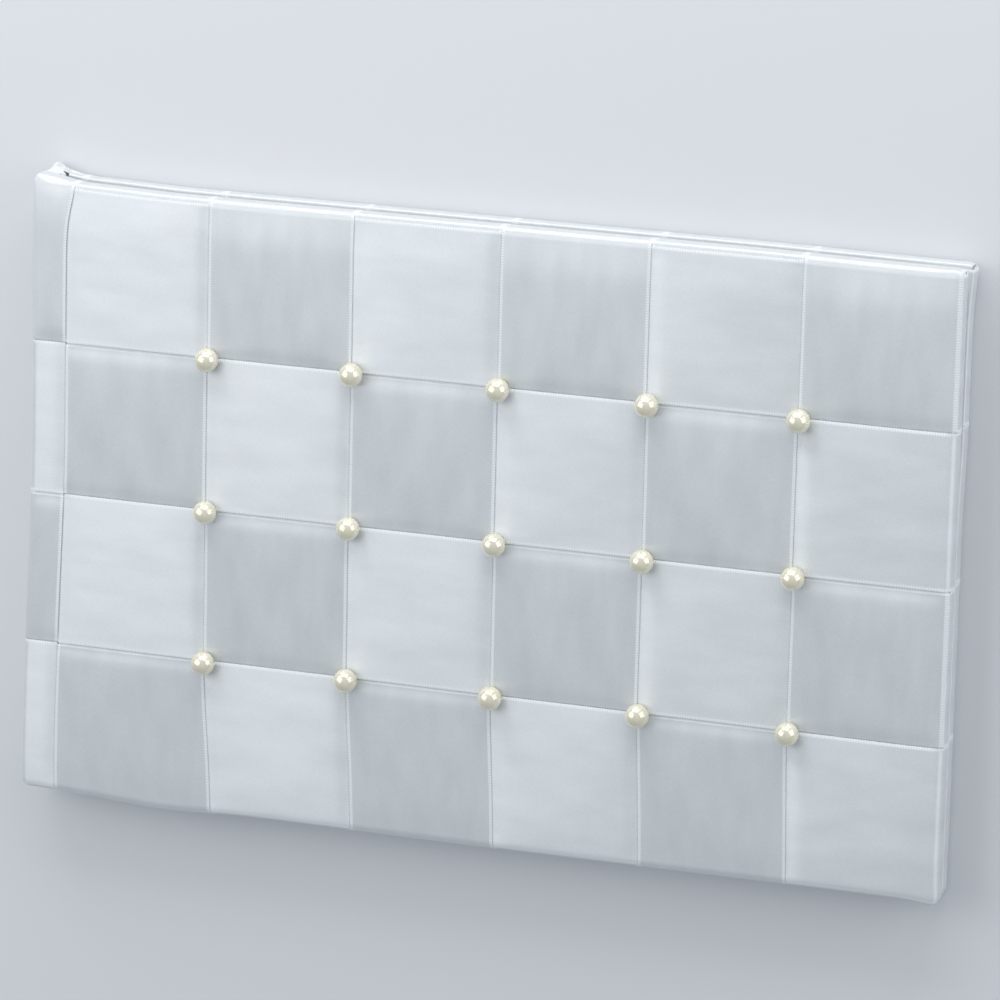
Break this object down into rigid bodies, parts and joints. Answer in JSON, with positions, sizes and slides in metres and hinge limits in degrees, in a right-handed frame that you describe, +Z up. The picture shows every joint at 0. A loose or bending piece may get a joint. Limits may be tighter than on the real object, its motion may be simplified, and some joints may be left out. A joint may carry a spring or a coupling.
{
  "type": "prayer book",
  "caption": "Small landscape hardback keepsake prayer book; padded covers woven basket-fashion from wide white satin ribbon, a cream pearl on each inner crossing of the front.",
  "frame": {"origin": "middle of the underside of the closed book lying on its back cover, on the surface it rests on", "axes": "+X from the spine to the fore-edge, +Y from the tail to the head, +Z up through the front cover"},
  "size_m": [0.2416, 0.1576, 0.02],
  "materials": {
    "satin_ribbon": "single-face satin, woven, white with a cool cast",
    "pearl": "cream pearlescent lacquer on a moulded bead",
    "grey_board": "matt",
    "wadding": "polyester wadding",
    "lining_paper": "laid endpaper",
    "leaf_paper": "uncoated ivory",
    "thread": "waxed linen"
  },
  "bodies": {
    "back_cover": {"back_board": "grey_board", "back_wadding": "wadding", "back_lining": "lining_paper", "back_spine_ribbon_flank": "satin_ribbon", "back_warp_ribbon_1": "satin_ribbon", "back_warp_ribbon_2": "satin_ribbon", "back_warp_ribbon_3": "satin_ribbon", "back_warp_ribbon_4": "satin_ribbon", "back_warp_ribbon_5": "satin_ribbon", "back_warp_ribbon_6": "satin_ribbon", "back_weft_ribbon_1": "satin_ribbon", "back_weft_ribbon_2": "satin_ribbon", "back_weft_ribbon_3": "satin_ribbon", "back_weft_ribbon_4": "satin_ribbon", "sewing_cord": "thread"},
    "spine": {"spine_board": "grey_board", "spine_ribbon": "satin_ribbon", "spine_weft_ribbon_1": "satin_ribbon", "spine_weft_ribbon_2": "satin_ribbon", "spine_weft_ribbon_3": "satin_ribbon", "spine_weft_ribbon_4": "satin_ribbon"},
    "front_cover": {"front_board": "grey_board", "front_wadding": "wadding", "front_lining": "lining_paper", "front_spine_ribbon_flank": "satin_ribbon", "front_warp_ribbon_1": "satin_ribbon", "front_warp_ribbon_2": "satin_ribbon", "front_warp_ribbon_3": "satin_ribbon", "front_warp_ribbon_4": "satin_ribbon", "front_warp_ribbon_5": "satin_ribbon", "front_warp_ribbon_6": "satin_ribbon", "front_weft_ribbon_1": "satin_ribbon", "front_weft_ribbon_2": "satin_ribbon", "front_weft_ribbon_3": "satin_ribbon", "front_weft_ribbon_4": "satin_ribbon", "pearl_1_1": "pearl", "pearl_1_2": "pearl", "pearl_1_3": "pearl", "pearl_1_4": "pearl", "pearl_1_5": "pearl", "pearl_2_1": "pearl", "pearl_2_2": "pearl", "pearl_2_3": "pearl", "pearl_2_4": "pearl", "pearl_2_5": "pearl", "pearl_3_1": "pearl", "pearl_3_2": "pearl", "pearl_3_3": "pearl", "pearl_3_4": "pearl", "pearl_3_5": "pearl"},
    "front_flyleaf": {"front_flyleaf": "leaf_paper"},
    "leaf_section_1": {"leaf_section_1": "leaf_paper"},
    "leaf_section_2": {"leaf_section_2": "leaf_paper"},
    "leaf_section_3": {"leaf_section_3": "leaf_paper"},
    "back_flyleaf": {"back_flyleaf": "leaf_paper"}
  },
  "joints": [
    {"name": "spine_hinge", "type": "hinge", "parent": "back_cover", "child": "spine", "pos_m": [-0.12077, 0, 0], "axis": [0, -1, 0], "range_deg": [0, 87]},
    {"name": "front_cover_hinge", "type": "hinge", "parent": "spine", "child": "front_cover", "pos_m": [-0.12077, 0, 0.01495], "axis": [0, -1, 0], "range_deg": [0, 87]},
    {"name": "front_flyleaf_fold", "type": "hinge", "parent": "back_cover", "child": "front_flyleaf", "pos_m": [-0.11588, 0, 0.00747], "axis": [0, -1, 0], "range_deg": [0, 165.4]},
    {"name": "leaf_section_1_fold", "type": "hinge", "parent": "back_cover", "child": "leaf_section_1", "pos_m": [-0.11588, 0, 0.00747], "axis": [0, -1, 0], "range_deg": [0, 135]},
    {"name": "leaf_section_2_fold", "type": "hinge", "parent": "back_cover", "child": "leaf_section_2", "pos_m": [-0.11588, 0, 0.00747], "axis": [0, -1, 0], "range_deg": [0, 95.8]},
    {"name": "leaf_section_3_fold", "type": "hinge", "parent": "back_cover", "child": "leaf_section_3", "pos_m": [-0.11588, 0, 0.00747], "axis": [0, -1, 0], "range_deg": [0, 52.3]},
    {"name": "back_flyleaf_fold", "type": "hinge", "parent": "back_cover", "child": "back_flyleaf", "pos_m": [-0.11588, 0, 0.00747], "axis": [0, -1, 0], "range_deg": [0, 8.9]}
  ],
  "couplings": [
    {"joint": "spine_hinge", "follows": "front_cover_hinge", "ratio": 1},
    {"joint": "front_flyleaf_fold", "follows": "front_cover_hinge", "ratio": 1.9},
    {"joint": "leaf_section_1_fold", "follows": "front_cover_hinge", "ratio": 1.55},
    {"joint": "leaf_section_2_fold", "follows": "front_cover_hinge", "ratio": 1.1},
    {"joint": "leaf_section_3_fold", "follows": "front_cover_hinge", "ratio": 0.6},
    {"joint": "back_flyleaf_fold", "follows": "front_cover_hinge", "ratio": 0.1}
  ]
}
